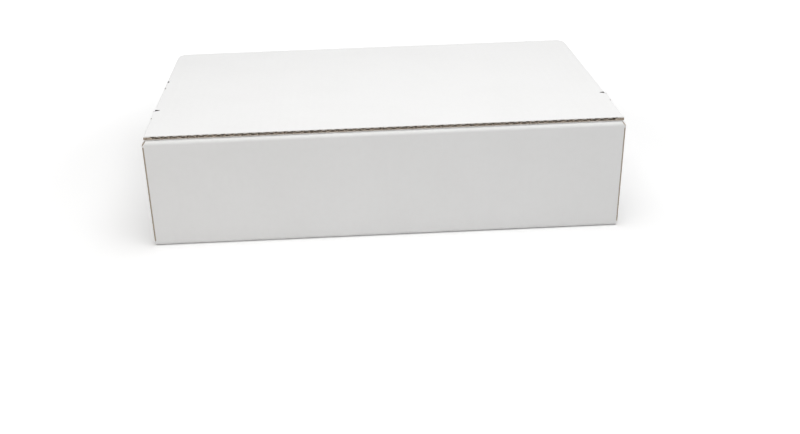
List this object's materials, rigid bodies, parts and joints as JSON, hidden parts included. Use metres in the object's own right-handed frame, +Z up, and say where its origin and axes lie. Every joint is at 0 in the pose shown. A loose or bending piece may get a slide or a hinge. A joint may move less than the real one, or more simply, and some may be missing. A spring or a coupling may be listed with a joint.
{
  "type": "self-seal shipping box",
  "caption": "Flat white corrugated shipping box, erected and closed, with a full lid hinged at the back, an inward closing flap, dust flaps, a seal strip and a tear tape.",
  "frame": {"origin": "on the surface that the box stands on, under the middle of the box", "axes": "+X along the front to the right, +Y from front to back, +Z up"},
  "size_m": [0.356, 0.211, 0.0885],
  "materials": {
    "board": "matt bleached liners, grey-brown where the board is cut",
    "adhesive": "clear tacky film",
    "release_paper": "smooth coated paper",
    "tear_tape": "thin pale red film"
  },
  "bodies": {
    "carton": {"carton": "board"},
    "lid": {"lid": "board", "adhesive_strip": "adhesive", "release_liner": "release_paper", "tear_tape": "tear_tape"}
  },
  "joints": [
    {"name": "lid_crease", "type": "hinge", "parent": "carton", "child": "lid", "pos_m": [0, 0.1055, 0.0885], "axis": [-1, 0, 0], "range_deg": [0, 200]}
  ]
}
